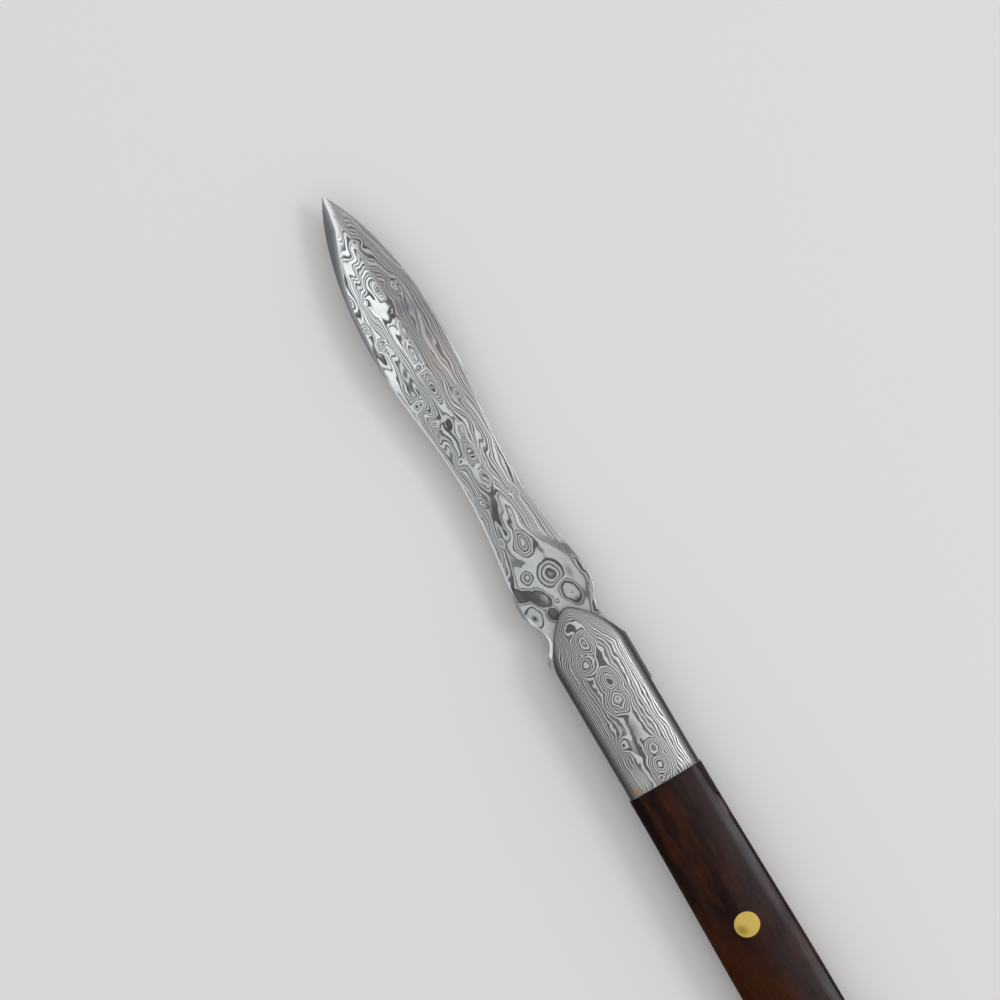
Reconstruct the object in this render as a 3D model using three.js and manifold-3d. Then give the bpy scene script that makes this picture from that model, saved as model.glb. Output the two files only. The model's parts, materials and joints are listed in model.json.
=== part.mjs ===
// A folding tea knife with a leaf-shaped blade, steel bolsters, wooden scales and a liner lock, shown open.
//
// Millimetres. The knife lies on its back: Z = 0 is the face it lies on and +Z is the side that is seen.
// +X runs from the pivot to the tip, +Y to the spine. Y = 0 is the centre line of the blade and the handle.

import * as THREE from "three";
import { mergeVertices } from "three/addons/utils/BufferGeometryUtils.js";
import Module from "manifold-3d";

const wasm = await Module();
wasm.setup();

// Plates, as they are stacked
const coverThickness = 2.9; // a bolster or a scale
const linerThickness = 1.0;
const bladeThickness = 2.2;
const washerThickness = 0.3;

// Blade, from the tip to the neck: places along X and half widths
const tipX = 83.8;
const belly = { x: 58.5, half: 5.79 };
const waist = { x: 34.8, half: 4.03 };
const lobe = { x: 14.4, half: 6.12 };
const neck = { x: 8.6, half: 4.44 };

// How far each curve of the blade runs on straight before it turns
const tipRun = { along: 6.3, half: 3.9 };
const bellyRun = 9.0;
const waistRun = { front: 9.0, rear: 8.8 };
const lobeRun = { front: 1.8, rear: 2.4 };
const neckRun = 2.6;

// Grinds of the blade
const grindY = -0.3; // the edge bevel starts on this line
const grindFrontX = 25.0; // the bevel is at full width in front of this place
const plungeX = 16.5; // and runs out here at the edge
const edgeThickness = 0.6;
const swedgeX = 64.0; // the false edge on the spine starts here
const swedgeTipY = -0.77; // and the line where it meets the flat aims at this side of the tip
const swedgeAngle = THREE.MathUtils.degToRad(20);
const taperX = 66.0; // the blade gets thinner in front of this place
const tipThickness = 0.7;

// Tang
const pivotBelowCentre = 0.6;
const tangProud = 0.25; // how far the tang stands out of the bolsters on the edge side
const tangInset = 0.7; // and how far it lies inside them on the spine side
const lockFaceX = -4.15;
const lockFaceTop = -2.65;
const shoulderAngle = THREE.MathUtils.degToRad(25);
const shoulderEnd = 4.9; // the straight shoulder ends at this distance from the centre line
// Corners of the hook: X, and how far out of the bolsters
const hook = {
  outside: [[7.75, -1.25], [6.9, -0.8], [5.6, 0.2]],
  tip: [4.4, 0.44],
  inside: [[5.2, 0.0], [6.6, -1.15]],
  heel: 5.2,
};

// Bolsters
const bolsterHalf = 6.0;
const bolsterApexX = 11.6;
const bolsterShoulderX = 3.2;
const bolsterRearX = -18.7;
const nose = { length: 3.4, height: 1.0 }; // the dome at the front, in side view
const domeRun = { side: 3.0, apex: 1.6 }; // and from above

// Scales
const scaleProud = 0.22; // how far the scales stand out beside the bolsters
const scaleRun = { front: 13.0, belly: 12.5 };
const buttRun = { side: 17.0, end: 5.6 };
const buttRound = { length: 3.4, height: 1.7 }; // in side view
const scallopFloor = 4.9; // length of the full depth of the thumb scallop, from the bolster
const scallopRamp = 1.5;
const scallopDepth = 1.4;
const scallopTilt = THREE.MathUtils.degToRad(27.5);

// Section of bolsters and scales across the handle: upright side, then a crown up to a narrow flat
const coverSide = { height: 0.9, run: 1.5 };
const coverFlat = { half: 2.5, run: 2.1 };

// Liners, lock leaf and spacer
const linerInset = 0.12;
const leafRootX = -40.0;
const leafAngle = THREE.MathUtils.degToRad(1.8); // the leaf stands in behind the tang by this much
const leafThickness = 0.7;
const leafKerf = 0.35;
const lockGap = 0.3;
const spacerWall = 1.76; // width of the spacer beside the belly of the folded blade
const buttWall = 3.3;

// Pins and rivets
const pivotRadius = 1.5;
const pivotSeat = 1.8; // depth of the blind hole in each bolster
const washerRadius = 3.6;
const stopPinRadius = 0.75;
const stopPinAngle = THREE.MathUtils.degToRad(135);
const rivetRadius = 2.0;
const rivetForeX = -43.5;
const rivetAftX = -72.5;
const rivetY = 0.3;
const spacerRivetRadius = 0.75;
const spacerRivetWall = 0.6;
const spacerRivetFromTip = 4.0; // the rear one, from the tip of the folded blade
const spacerRivetAftY = 3.6;

// Clearances
const pinFit = 0.2; // around each pin
const pinEndGap = 0.15;
const stopGap = 0.06; // tang to stop pin, open
const foldedStopGap = 0.1; // shoulder to stop pin, folded
const tangGap = 0.26; // tang to stop pin while the blade turns
const bladeGap = 0.35; // folded edge to spacer
const tipGap = 0.5;

// Fineness of the curves
const curveSteps = 14;
const pinSides = 32;

// Heights of the stacked plates
const backLinerZ = coverThickness;
const channelZ = backLinerZ + linerThickness;
const channelDepth = bladeThickness + 2 * washerThickness;
const bladeZ = channelZ + washerThickness;
const bladeMidZ = bladeZ + bladeThickness / 2;
const frontLinerZ = channelZ + channelDepth;
const frontCoverZ = frontLinerZ + linerThickness;
const frontFaceZ = frontCoverZ + coverThickness;

const point = (x, y) => new THREE.Vector2(x, y);

// Places that follow from the sizes
const pivot = point(0, -pivotBelowCentre);
const tangEdge = bolsterHalf + tangProud;
const tangTop = bolsterHalf - tangInset;
const scaleFrontHalf = bolsterHalf + scaleProud;
const tangRadius = Math.hypot(lockFaceX, tangEdge - pivotBelowCentre);
const stopPinReach = tangRadius + tangGap + stopPinRadius;
const stopPin = point(pivot.x + stopPinReach, pivot.y).rotateAround(pivot, stopPinAngle);
const foldedEdge = (half) => half - 2 * pivotBelowCentre + bladeGap; // how high the edge reaches when folded
const scaleBellyHalf = foldedEdge(belly.half) + spacerWall;
const buttX = -(tipX + tipGap + buttWall);
const leafTipX = lockFaceX - lockGap;
const leafTop = lockFaceTop - lockGap;
const rivets = { fore: point(rivetForeX, rivetY), aft: point(rivetAftX, rivetY) };
const spacerRivets = {
  fore: point(-waist.x, foldedEdge(waist.half) + spacerRivetWall + spacerRivetRadius),
  aft: point(spacerRivetFromTip - tipX, spacerRivetAftY),
};
const far = 20; // beyond the handle on every side
const unit = {
  x: new THREE.Vector3(1, 0, 0),
  y: new THREE.Vector3(0, 1, 0),
  z: new THREE.Vector3(0, 0, 1),
};

// Points along a curve that leaves a towards b and arrives at d from c.
function curve(a, b, c, d) {
  const path = new THREE.CubicBezierCurve(point(...a), point(...b), point(...c), point(...d));
  return path.getPoints(curveSteps);
}

function arc(centre, radius, from, to) {
  const path = new THREE.EllipseCurve(centre.x, centre.y, radius, radius, from, to, from > to);
  return path.getPoints(curveSteps);
}

// Puts stretches of an outline together and leaves out points that repeat, also where the outline closes.
function joined(...runs) {
  const points = runs.flat();
  return points.filter((p, i) => p.distanceTo(points.at(i - 1)) > 1e-6);
}

const mirrored = (points) => points.map((p) => point(p.x, -p.y)).reverse();

// The outline of a plate from one half of it, which runs from the front to the rear above the centre line.
const symmetric = (half) => new THREE.Shape(joined(half, mirrored(half)));

// A closed geometry as a solid that can be joined and cut.
function solid(geometry) {
  const bare = geometry.index ? geometry.toNonIndexed() : geometry.clone();
  bare.deleteAttribute("normal");
  bare.deleteAttribute("uv");
  const merged = mergeVertices(bare, 1e-4);
  const vertProperties = merged.attributes.position.array;
  const triVerts = new Uint32Array(merged.index.array);
  return new wasm.Manifold(new wasm.Mesh({ numProp: 3, vertProperties, triVerts }));
}

function geometryOf(body) {
  const cut = body.getMesh();
  const geometry = new THREE.BufferGeometry();
  geometry.setAttribute("position", new THREE.BufferAttribute(cut.vertProperties, 3));
  geometry.setIndex(new THREE.BufferAttribute(cut.triVerts, 1));
  geometry.computeVertexNormals();
  return geometry;
}

function plate(shape, bottom, height) {
  const geometry = new THREE.ExtrudeGeometry(shape, { depth: height, bevelEnabled: false, steps: 1 });
  return geometry.translate(0, 0, bottom);
}

// A cylinder along Z between two heights.
function rod(at, radius, bottom, top) {
  const geometry = new THREE.CylinderGeometry(radius, radius, top - bottom, pinSides);
  return geometry.rotateX(Math.PI / 2).translate(at.x, at.y, (bottom + top) / 2);
}

function box(x0, x1, y0, y1, z0, z1) {
  const geometry = new THREE.BoxGeometry(x1 - x0, y1 - y0, z1 - z0);
  return geometry.translate((x0 + x1) / 2, (y0 + y1) / 2, (z0 + z1) / 2);
}

// A body with a hole at each of these places for a pin of this radius.
function drilled(body, places, radius, top = far) {
  return places.reduce((left, at) => left.subtract(solid(rod(at, radius + pinFit, -far, top))), body);
}

// Half outline of the blade from the tip to the neck.
const bladeHalf = joined(
  curve(
    [tipX, 0],
    [tipX - tipRun.along, tipRun.half],
    [belly.x + bellyRun, belly.half],
    [belly.x, belly.half],
  ),
  curve(
    [belly.x, belly.half],
    [belly.x - bellyRun, belly.half],
    [waist.x + waistRun.front, waist.half],
    [waist.x, waist.half],
  ),
  curve(
    [waist.x, waist.half],
    [waist.x - waistRun.rear, waist.half],
    [lobe.x + lobeRun.front, lobe.half],
    [lobe.x, lobe.half],
  ),
  curve(
    [lobe.x, lobe.half],
    [lobe.x - lobeRun.rear, lobe.half],
    [neck.x + neckRun, neck.half],
    [neck.x, neck.half],
  ),
);

// Where the straight shoulder on the edge side crosses a line at this distance below the centre line.
// When the blade is folded the shoulder lies beside the stop pin.
function shoulderAt(below) {
  const folded = stopPin.clone().rotateAround(pivot, Math.PI);
  const normal = point(Math.sin(shoulderAngle), -Math.cos(shoulderAngle));
  const offset = normal.dot(folded) - stopPinRadius - foldedStopGap;
  return point((offset + normal.y * below) / normal.x, -below);
}

// Outline of the tang from the neck on the spine side round to the neck on the edge side.
function tangOutline() {
  const stopX = stopPin.x + stopPinRadius + stopGap;
  const stopY = pivot.y + Math.sqrt(tangRadius ** 2 - stopX ** 2);
  const notchX = -Math.sqrt(tangRadius ** 2 - (lockFaceTop - pivot.y) ** 2);
  const from = point(stopX, stopY).sub(pivot).angle();
  const to = point(notchX, lockFaceTop).sub(pivot).angle();
  return joined(
    [...hook.outside, hook.tip, ...hook.inside].map(([x, out]) => point(x, bolsterHalf + out)),
    [point(hook.heel, tangTop), point(stopX, tangTop)],
    arc(pivot, tangRadius, from, to),
    [point(lockFaceX, lockFaceTop), point(lockFaceX, -tangEdge)],
    [shoulderAt(tangEdge), shoulderAt(shoulderEnd)],
  );
}

// Grinds a blank along a line on each of its two faces, away from the right-hand side of the line.
function ground(blank, from, to, angle, slant = 0) {
  const line = point(...to).sub(point(...from));
  const length = line.length();
  const area = [point(0, 0), point(length + far, 0), point(length + far, -far), point(-slant * far, -far)];
  const cutter = plate(new THREE.Shape(area.reverse()), 0, far).rotateX(angle);
  const above = cutter.translate(0, 0, bladeThickness / 2);
  const turned = above.rotateZ(line.angle()).translate(from[0], from[1], 0);
  const upper = turned.clone().translate(0, 0, bladeMidZ);
  const lower = turnedOver(turned).translate(0, 0, bladeMidZ);
  return blank.subtract(solid(upper)).subtract(solid(lower));
}

// The mirror image of a geometry below Z = 0, with its faces turned out again.
function turnedOver(geometry) {
  const image = geometry.clone().scale(1, 1, -1);
  const corners = image.attributes.position;
  for (let i = 0; i < corners.count; i += 3) {
    const first = new THREE.Vector3().fromBufferAttribute(corners, i);
    const last = new THREE.Vector3().fromBufferAttribute(corners, i + 2);
    corners.setXYZ(i, ...last);
    corners.setXYZ(i + 2, ...first);
  }
  return image;
}

function makeBlade() {
  const outline = joined(bladeHalf, tangOutline(), mirrored(bladeHalf));
  const blank = solid(plate(new THREE.Shape(outline), bladeZ, bladeThickness));
  const bevelDrop = (bladeThickness - edgeThickness) / 2;
  const bevelAngle = Math.atan2(bevelDrop, belly.half + grindY);
  const plungeSlant = (grindFrontX - plungeX) / (lobe.half + grindY);
  const bevelled = ground(blank, [grindFrontX, grindY], [tipX, grindY], bevelAngle, plungeSlant);
  const spineAtSwedge = bladeHalf.find((p) => p.x <= swedgeX).y;
  const swedged = ground(bevelled, [tipX, swedgeTipY], [swedgeX, spineAtSwedge], swedgeAngle);
  const taperAngle = Math.atan2((bladeThickness - tipThickness) / 2, tipX - taperX);
  const tapered = ground(swedged, [taperX, -far], [taperX, far], taperAngle, 1);
  return drilled(tapered, [pivot], pivotRadius);
}

// Half outline of the bolsters' front, from the apex of the dome to the straight side.
const bolsterFront = (inset) =>
  curve(
    [bolsterApexX - inset, 0],
    [bolsterApexX - inset, domeRun.apex],
    [bolsterShoulderX + domeRun.side, bolsterHalf - inset],
    [bolsterShoulderX, bolsterHalf - inset],
  );

// Half outline of the scales, from the bolsters to the middle of the butt.
const scaleSide = (inset) =>
  joined(
    curve(
      [bolsterRearX, scaleFrontHalf - inset],
      [bolsterRearX - scaleRun.front, scaleFrontHalf - inset],
      [-belly.x + scaleRun.belly, scaleBellyHalf - inset],
      [-belly.x, scaleBellyHalf - inset],
    ),
    curve(
      [-belly.x, scaleBellyHalf - inset],
      [-belly.x - buttRun.side, scaleBellyHalf - inset],
      [buttX + inset, buttRun.end],
      [buttX + inset, 0],
    ),
  );

// The room under the crown of the covers, along the whole handle.
function underCrown() {
  const half = curve(
    [scaleBellyHalf, coverSide.height],
    [scaleBellyHalf, coverSide.height + coverSide.run],
    [coverFlat.half + coverFlat.run, coverThickness],
    [coverFlat.half, coverThickness],
  );
  const otherHalf = half.map((p) => point(-p.x, p.y)).reverse();
  const section = [point(-scaleBellyHalf, 0), point(scaleBellyHalf, 0), ...half, ...otherHalf];
  const alongX = new THREE.Matrix4().makeBasis(unit.y, unit.z, unit.x);
  return solid(plate(new THREE.Shape(section), -2 * tipX, 4 * tipX).applyMatrix4(alongX));
}

// A cover standing on Z = 0: its outline from above, cut to its section and to its round end in side view.
function makeCover(half, endX, jointX, { length, height }) {
  const above = solid(plate(symmetric(half), 0, coverThickness));
  const inwards = Math.sign(jointX - endX);
  const centre = point(endX + inwards * length, coverThickness - height);
  const start = inwards < 0 ? 0 : Math.PI;
  const end = new THREE.EllipseCurve(centre.x, centre.y, length, height, start, Math.PI / 2, inwards > 0);
  const roundEnd = end.getPoints(curveSteps);
  const side = [point(jointX, 0), point(endX, 0), ...roundEnd, point(jointX, coverThickness)];
  const alongY = plate(new THREE.Shape(side), -far, 2 * far).rotateX(Math.PI / 2);
  return above.intersect(underCrown()).intersect(solid(alongY));
}

function makeBolster() {
  const half = joined(bolsterFront(0), [point(bolsterRearX, bolsterHalf)]);
  const shaped = makeCover(half, bolsterApexX, bolsterRearX, nose);
  return drilled(shaped, [pivot], pivotRadius, pivotSeat);
}

function makeScale() {
  const shaped = makeCover(scaleSide(0), buttX, bolsterRearX, buttRound);
  return drilled(shaped, Object.values(rivets), rivetRadius);
}

// The room that the thumb needs to reach the lock leaf, leaning out towards the back of the knife.
function scallop() {
  const floor = scallopDepth - scaleFrontHalf;
  const floorEnd = bolsterRearX - scallopFloor;
  const area = [
    point(bolsterRearX, -far),
    point(bolsterRearX, floor),
    point(floorEnd, floor),
    point(floorEnd - scallopRamp / 2, floor - scallopDepth / 3),
    point(floorEnd - scallopRamp, floor - scallopDepth),
    point(floorEnd - scallopRamp, -far),
  ];
  const cutter = plate(new THREE.Shape(area), -far, 2 * far).translate(0, -floor, 0);
  return solid(cutter.rotateX(-scallopTilt).translate(0, floor, frontFaceZ));
}

const linerShape = (inset) => symmetric(joined(bolsterFront(inset), scaleSide(inset)));

// A liner with the holes for everything that holds the handle together.
function makeLiner(bottom) {
  const blank = solid(plate(linerShape(linerInset), bottom, linerThickness));
  const pinned = drilled(drilled(blank, [pivot], pivotRadius), [stopPin], stopPinRadius);
  const riveted = drilled(pinned, Object.values(rivets), rivetRadius);
  return drilled(riveted, Object.values(spacerRivets), spacerRivetRadius);
}

function makeBackLiner() {
  const slot = box(leafRootX - leafKerf, leafTipX + leafKerf, -far, leafTop + leafKerf, -far, far);
  return makeLiner(backLinerZ).subtract(solid(slot));
}

// The lock leaf, lying flat with the middle of its root at the origin.
function makeLeaf() {
  const blank = solid(plate(linerShape(linerInset), -leafThickness / 2, leafThickness));
  const strip = blank.intersect(solid(box(leafRootX, leafTipX, -far, leafTop, -far, far)));
  return geometryOf(strip).translate(-leafRootX, 0, 0);
}

function makeSpacer() {
  const blank = solid(plate(symmetric(scaleSide(linerInset)), channelZ, channelDepth));
  const edge = bladeHalf.map((p) => point(-p.x, foldedEdge(p.y)));
  const beyondTip = -tipX - tipGap;
  const room = joined(
    [point(beyondTip, -far), point(beyondTip, foldedEdge(0))],
    edge,
    [point(0, foldedEdge(neck.half)), point(0, -far)],
  );
  const cut = blank.subtract(solid(plate(new THREE.Shape(room), -far, 2 * far)));
  return drilled(cut, Object.values(spacerRivets), spacerRivetRadius);
}

function makeWasher(bottom) {
  const ring = new THREE.Shape();
  ring.absarc(pivot.x, pivot.y, washerRadius, 0, 2 * Math.PI);
  ring.holes.push(new THREE.Path().absarc(pivot.x, pivot.y, pivotRadius + pinFit, 0, 2 * Math.PI, true));
  return plate(ring, bottom, washerThickness);
}

// Turns a cover made standing on Z = 0 with its round edge up into the cover at the back.
const atBack = (geometry) => turnedOver(geometry.toNonIndexed()).translate(0, 0, coverThickness);
const atFront = (geometry) => geometry.translate(0, 0, frontCoverZ);

const patternSteel = new THREE.MeshStandardMaterial({ color: 0xb4b2ae, roughness: 0.38, metalness: 0.9 });
const plainSteel = new THREE.MeshStandardMaterial({ color: 0xa4a6a8, roughness: 0.35, metalness: 1.0 });
const rosewood = new THREE.MeshStandardMaterial({ color: 0x3a211b, roughness: 0.35, metalness: 0.0 });
const brass = new THREE.MeshStandardMaterial({ color: 0xd2b968, roughness: 0.3, metalness: 1.0 });
const bronze = new THREE.MeshStandardMaterial({ color: 0xa9773f, roughness: 0.4, metalness: 1.0 });

const knife = new THREE.Group();

function add(name, geometry, material, parent = knife) {
  const mesh = new THREE.Mesh(geometry, material);
  mesh.name = name;
  parent.add(mesh);
  return mesh;
}

// Blade
add("blade", geometryOf(makeBlade()), patternSteel);

// Covers of the handle
const bolster = makeBolster();
const scale = makeScale();
const scallopedScale = solid(atFront(geometryOf(scale))).subtract(scallop());
add("front_bolster", atFront(geometryOf(bolster)), patternSteel);
add("back_bolster", atBack(geometryOf(bolster)), patternSteel);
add("front_scale", geometryOf(scallopedScale), rosewood);
add("back_scale", atBack(geometryOf(scale)), rosewood);

// Liners and what lies between them
add("front_liner", geometryOf(makeLiner(frontLinerZ).subtract(scallop())), plainSteel);
add("back_liner", geometryOf(makeBackLiner()), plainSteel);
add("back_spacer", geometryOf(makeSpacer()), plainSteel);
add("front_washer", makeWasher(bladeZ + bladeThickness), bronze);
add("back_washer", makeWasher(channelZ), bronze);

// Lock leaf, sprung in behind the tang
const leafRoot = new THREE.Group();
leafRoot.position.set(leafRootX, 0, channelZ - leafThickness / 2);
leafRoot.rotation.y = -leafAngle;
knife.add(leafRoot);
add("lock_leaf", makeLeaf(), plainSteel, leafRoot);

// Pins and rivets
const pivotBottom = coverThickness - pivotSeat + pinEndGap;
const pivotTop = frontCoverZ + pivotSeat - pinEndGap;
add("pivot_pin", rod(pivot, pivotRadius, pivotBottom, pivotTop), plainSteel);
const linersBottom = backLinerZ + pinEndGap;
const linersTop = frontCoverZ - pinEndGap;
add("stop_pin", rod(stopPin, stopPinRadius, linersBottom, linersTop), plainSteel);
for (const [end, at] of Object.entries(spacerRivets)) {
  add(`spacer_rivet_${end}`, rod(at, spacerRivetRadius, linersBottom, linersTop), plainSteel);
}
const crown = geometryOf(underCrown());
const crowns = { front: solid(atFront(crown.clone())), back: solid(atBack(crown)) };
for (const [end, at] of Object.entries(rivets)) {
  const foot = solid(rod(at, rivetRadius, frontLinerZ + pinEndGap, frontCoverZ));
  const head = solid(rod(at, rivetRadius, frontCoverZ, frontFaceZ)).intersect(crowns.front);
  add(`front_rivet_${end}`, geometryOf(foot.add(head)), brass);
  const backFoot = solid(rod(at, rivetRadius, backLinerZ, channelZ - pinEndGap));
  const backHead = solid(rod(at, rivetRadius, 0, backLinerZ)).intersect(crowns.back);
  add(`back_rivet_${end}`, geometryOf(backFoot.add(backHead)), brass);
}

export default knife;
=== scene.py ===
# %% [markdown]
# A folding tea knife, lying open. The blade and the bolsters are pattern-welded steel, the scales are
# dark rosewood with brass rivets, and thin steel liners lie between them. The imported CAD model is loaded
# first, because every piece here takes its place from it.

# %% Load the frame
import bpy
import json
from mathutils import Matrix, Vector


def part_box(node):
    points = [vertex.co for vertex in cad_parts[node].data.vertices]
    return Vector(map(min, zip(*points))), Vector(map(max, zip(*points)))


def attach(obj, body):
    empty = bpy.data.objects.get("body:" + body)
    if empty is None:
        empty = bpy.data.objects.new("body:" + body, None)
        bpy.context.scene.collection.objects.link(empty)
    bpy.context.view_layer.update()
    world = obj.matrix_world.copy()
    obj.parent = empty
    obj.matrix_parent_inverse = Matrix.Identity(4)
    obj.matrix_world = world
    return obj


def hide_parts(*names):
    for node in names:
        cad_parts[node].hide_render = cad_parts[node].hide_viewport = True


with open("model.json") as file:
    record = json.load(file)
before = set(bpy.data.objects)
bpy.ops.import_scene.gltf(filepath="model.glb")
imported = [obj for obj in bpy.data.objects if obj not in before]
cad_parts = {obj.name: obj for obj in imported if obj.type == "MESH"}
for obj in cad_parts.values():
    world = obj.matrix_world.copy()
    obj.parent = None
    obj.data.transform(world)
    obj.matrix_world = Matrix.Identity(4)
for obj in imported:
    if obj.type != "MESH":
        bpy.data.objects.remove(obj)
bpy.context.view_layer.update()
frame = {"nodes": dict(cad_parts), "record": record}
print("CAD nodes:", len(frame["nodes"]))

# %% [markdown]
# A knife is measured in millimetres and Blender works in metres, so sizes are in millimetres until a mesh
# is made. The record of the frame says which body each piece rides on and which material slot it has.
# The bodies are taken from it here; a copy written out again could disagree with the record.

# %% Tools of the lesson
import json
import math

import bmesh
import bpy
import numpy as np
from mathutils import Matrix, Vector
from mathutils.geometry import interpolate_bezier

MM = 0.001
BODY = {node: body for body, nodes in frame["record"]["behaviour"]["bodies"].items() for node in nodes}

# %% [markdown]
# A material is a tree of nodes. It could be wired by hand in the Shader Editor, but a script reads better
# when small helpers do the wiring: one feeds a node's sockets, one adds a node, and others multiply, fit
# a value into a new range, make a band that rises and falls, and mix two colours.

# %% Helpers for node trees
def feed(tree, node, inputs):
    for socket, value in inputs.items():
        if isinstance(value, bpy.types.NodeSocket):
            tree.links.new(value, node.inputs[socket])
        else:
            node.inputs[socket].default_value = value


def add_node(tree, kind, inputs, output=0, **settings):
    node = tree.nodes.new("ShaderNode" + kind)
    for key, value in settings.items():
        setattr(node, key, value)
    feed(tree, node, inputs)
    return node.outputs[output]


def do_math(tree, operation, a, b=0.0):
    return add_node(tree, "Math", {0: a, 1: b}, operation=operation)


def product(tree, first, *others):
    for other in others:
        first = do_math(tree, "MULTIPLY", first, other)
    return first


def remap(tree, value, low, high, new_low, new_high, kind="LINEAR"):
    limits = {"From Min": low, "From Max": high, "To Min": new_low, "To Max": new_high}
    return add_node(tree, "MapRange", {"Value": value, **limits}, interpolation_type=kind)


def between(tree, value, start, full, last, end):
    return product(tree, remap(tree, value, start, full, 0, 1), remap(tree, value, last, end, 1, 0))


def mix_colour(tree, share, first, second):
    first, second = [(*tone, 1) if isinstance(tone, tuple) else tone for tone in (first, second)]
    return add_node(tree, "Mix", {0: share, 6: first, 7: second}, output=2, data_type="RGBA")


print("sums and mixes ready")

# %% [markdown]
# Patterns have tools of their own. They all start from Object coordinates, turned into millimetres, so
# that a pattern is drawn in the sizes of the knife and stays put when the knife moves. A picture could
# carry a pattern too, but noise and soft spots have no seams and stay sharp from near by.

# %% Helpers for patterns
def start_material(name):
    material = bpy.data.materials.new(name)
    material.use_nodes = True
    tree = material.node_tree
    place = add_node(tree, "TexCoord", {}, output="Object")
    in_mm = add_node(tree, "Mapping", {"Vector": place, "Scale": (1000, 1000, 1000)})
    return material, tree, tree.nodes["Principled BSDF"], in_mm


def split(tree, in_mm):
    return [add_node(tree, "SeparateXYZ", {"Vector": in_mm}, output=axis) for axis in "XYZ"]


def stretched_noise(tree, in_mm, sizes, shift=(0, 0, 0), detail=2.0, roughness=0.5):
    mapped = add_node(tree, "Mapping",
                      {"Vector": in_mm, "Location": shift, "Scale": [1 / size for size in sizes]})
    return add_node(tree, "TexNoise",
                    {"Vector": mapped, "Scale": 1.0, "Detail": detail, "Roughness": roughness})


def soft_spot(tree, in_mm, centre, sizes, turn=0.0, plateau=0.0):
    place = {"Location": centre, "Rotation": (0, 0, math.radians(turn)), "Scale": sizes}
    spot = add_node(tree, "Mapping", {"Vector": in_mm, **place}, vector_type="TEXTURE")
    ball = add_node(tree, "TexGradient", {"Vector": spot}, output="Fac",
                    gradient_type="SPHERICAL")
    return remap(tree, ball, 0, 1 - plateau, 0, 1, "SMOOTHSTEP")


def add_stains(tree, in_mm, colour, stains):
    for centre, sizes, turn, share, stain in stains:
        spot = product(tree, soft_spot(tree, in_mm, centre, sizes, turn), share)
        colour = mix_colour(tree, spot, colour, stain)
    return colour


def relief(tree, height, depth, strength):
    return add_node(tree, "Bump",
                    {"Height": height, "Distance": depth * MM, "Strength": strength})


print("patterns ready")

# %% [markdown]
# The blade is a leaf with a waist and two lobes. Its outline could be set point by point, but a maker
# draws it in a few sweeps, so four Bezier curves give one side of the centre line, and the other side
# mirrors it. It comes this early because the finish of the steel needs it as well.

# %% Outline of the blade
def curve(*corners, points=40):
    return [(p.x, p.y) for p in interpolate_bezier(*[Vector((x, y, 0)) for x, y in corners], points)]


TIP_X, NECK_X = 83.8, 8.6
BELLY, WAIST, LOBE, NECK = 5.79, 4.03, 6.12, 4.44
leaf = curve((TIP_X, 0), (77.5, 3.9), (67.5, BELLY), (58.5, BELLY), points=48)
leaf += curve((58.5, BELLY), (49.5, BELLY), (43.8, WAIST), (34.8, WAIST))[1:]
leaf += curve((34.8, WAIST), (26.0, WAIST), (16.2, LOBE), (14.4, LOBE), points=56)[1:]
leaf += curve((14.4, LOBE), (12.0, LOBE), (11.2, NECK), (NECK_X, NECK), points=16)[1:]
leaf[0] = (TIP_X - 0.02, 0.03)
rim_line = leaf[::-7]
print("sections along the blade:", len(leaf))

# %% [markdown]
# Patterned steel is a stack of thin light and dark layers that was hammered out of true and then ground.
# The pattern is where the ground surface cuts the layers, like the contour lines on a map. It could be
# painted as lines, but painted lines don't follow a shape. So the shader works as the smith does: it
# takes the height of each point, adds the waves of the layers, and looks up which layer that is. Flat
# faces then show eyes and islands, and bevels and crowned sides show fine lines.

# %% Layers of the two stacks: thickness in millimetres, and tones from side to side, dark to light
BLADE_LAYERS = [(0.040, 0.9, 1.0), (0.016, 0.05, 0.1), (0.020, 0.75, 0.85), (0.015, 0.1, 0.2),
                (0.019, 0.95, 0.85), (0.025, 0.0, 0.3), (0.018, 0.8, 0.7), (0.015, 0.15, 0.2),
                (0.024, 0.9, 1.0), (0.015, 0.0, 0.1), (0.017, 0.65, 0.75), (0.022, 0.3, 0.0),
                (0.032, 1.0, 0.85), (0.032, 0.15, 0.0), (0.018, 0.85, 0.8), (0.015, 0.25, 0.1)]
BOLSTER_LAYERS = [(0.042, 0.9, 1.0), (0.038, 0.0, 0.1), (0.034, 0.9, 1.0), (0.040, 0.2, 0.05),
                  (0.036, 0.8, 0.8), (0.036, 0.0, 0.0), (0.046, 0.9, 1.0), (0.040, 0.1, 0.3),
                  (0.034, 0.85, 0.8), (0.040, 0.1, 0.0), (0.038, 1.0, 0.9), (0.038, 0.1, 0.1),
                  (0.034, 0.8, 0.7), (0.036, 0.3, 0.05), (0.042, 1.0, 1.0), (0.046, 0.05, 0.4)]
SOFT_EDGE = 0.0035


def layer_ramp(tree, height, layers):
    stack = sum(layer[0] for layer in layers)
    place = do_math(tree, "DIVIDE", do_math(tree, "ADD", height, layers[0][0] / 2), stack)
    node = tree.nodes.new("ShaderNodeValToRGB")
    tree.links.new(do_math(tree, "FRACT", place), node.inputs["Fac"])
    ramp = node.color_ramp
    ramp.elements[0].position, ramp.elements[0].color = 0.0, (*[layers[0][1]] * 3, 1)
    ramp.elements.remove(ramp.elements[1])
    edge = 0.0
    for (thickness, _, last), (_, following, _) in zip(layers, layers[1:]):
        edge += thickness
        ramp.elements.new((edge - SOFT_EDGE) / stack).color = (last, last, last, 1)
        ramp.elements.new((edge + SOFT_EDGE) / stack).color = (following, following, following, 1)
    return node.outputs["Color"]


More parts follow.
